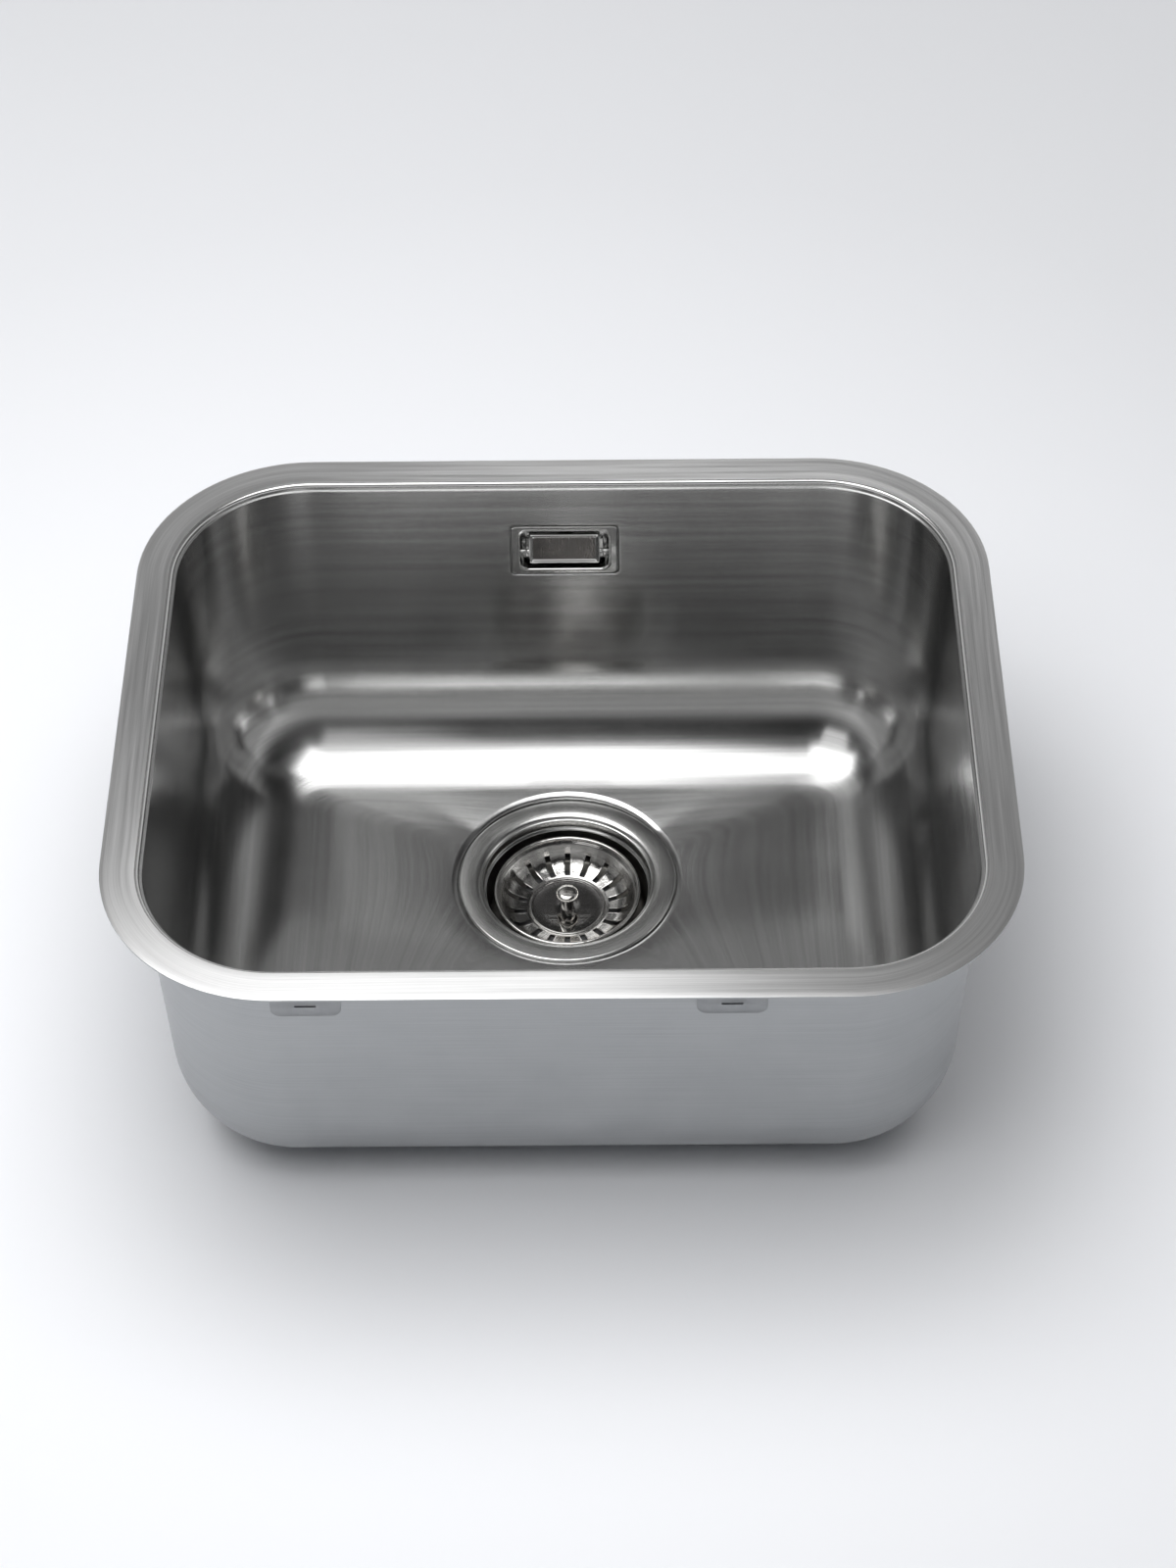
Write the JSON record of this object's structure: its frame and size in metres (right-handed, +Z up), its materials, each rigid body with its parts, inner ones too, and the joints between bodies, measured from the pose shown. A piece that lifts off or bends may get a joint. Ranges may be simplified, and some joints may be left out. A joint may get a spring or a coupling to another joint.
{
  "type": "undermount kitchen sink",
  "caption": "Pressed stainless undermount sink bowl with a basket strainer waste, side outlet and rear overflow.",
  "frame": {"origin": "centre of the rim's top face, which meets the worktop's underside", "axes": "+Z up, +Y towards the overflow wall at the rear, +X to the right seen from the front"},
  "size_m": [0.4374, 0.3821, 0.2314],
  "materials": {
    "brushed_steel": "fine brushed stainless steel",
    "bracket_steel": "satin stainless strip, spot-welded",
    "flange_steel": "satin stainless steel, circular grain",
    "polished_steel": "polished stainless steel",
    "chromed_trim": "bright chromed moulding",
    "fastener_steel": "turned stainless steel",
    "brass": "turned brass",
    "rubber": "black rubber",
    "damping_pad": "matt damping pad",
    "white_plastic": "moulded white polypropylene",
    "grey_plastic": "moulded grey polypropylene"
  },
  "bodies": {
    "sink": {"bowl": "brushed_steel", "rim_bracket_front_left": "bracket_steel", "rim_bracket_front_right": "bracket_steel", "rim_bracket_rear_left": "bracket_steel", "rim_bracket_rear_right": "bracket_steel", "rim_bracket_left": "bracket_steel", "rim_bracket_right": "bracket_steel", "sound_pads": "damping_pad", "strainer_cup": "flange_steel", "flange_seal": "rubber", "body_gasket": "rubber", "waste_body": "white_plastic", "thread_insert": "brass", "fixing_screw": "fastener_steel", "overflow_frame": "chromed_trim", "overflow_screw": "fastener_steel", "overflow_gasket": "rubber", "overflow_housing": "white_plastic", "overflow_nut": "brass", "overflow_pipe": "white_plastic", "pipe_nut_top": "grey_plastic", "pipe_seal_top": "rubber", "pipe_nut_low": "grey_plastic", "pipe_seal_low": "rubber"},
    "guide": {"guide_pin": "fastener_steel", "guide_ring": "rubber"},
    "basket_unit": {"basket": "polished_steel", "basket_knob": "polished_steel", "stopper_seal": "rubber", "seal_plate": "fastener_steel"},
    "overflow_flap": {"overflow_plate": "chromed_trim"}
  },
  "joints": [
    {"name": "basket_lift", "type": "slide", "parent": "sink", "child": "guide", "axis": [0, 0, 1], "range_m": [0, 0.225]},
    {"name": "basket_spin", "type": "hinge", "parent": "guide", "child": "basket_unit", "pos_m": [0, 0.0487, -0.2005], "axis": [0, 0, 1], "continuous": true},
    {"name": "overflow_plate_tilt", "type": "hinge", "parent": "sink", "child": "overflow_flap", "pos_m": [0, 0.16766, -0.04791], "axis": [1, 0, 0], "range_deg": [0, 25]}
  ]
}
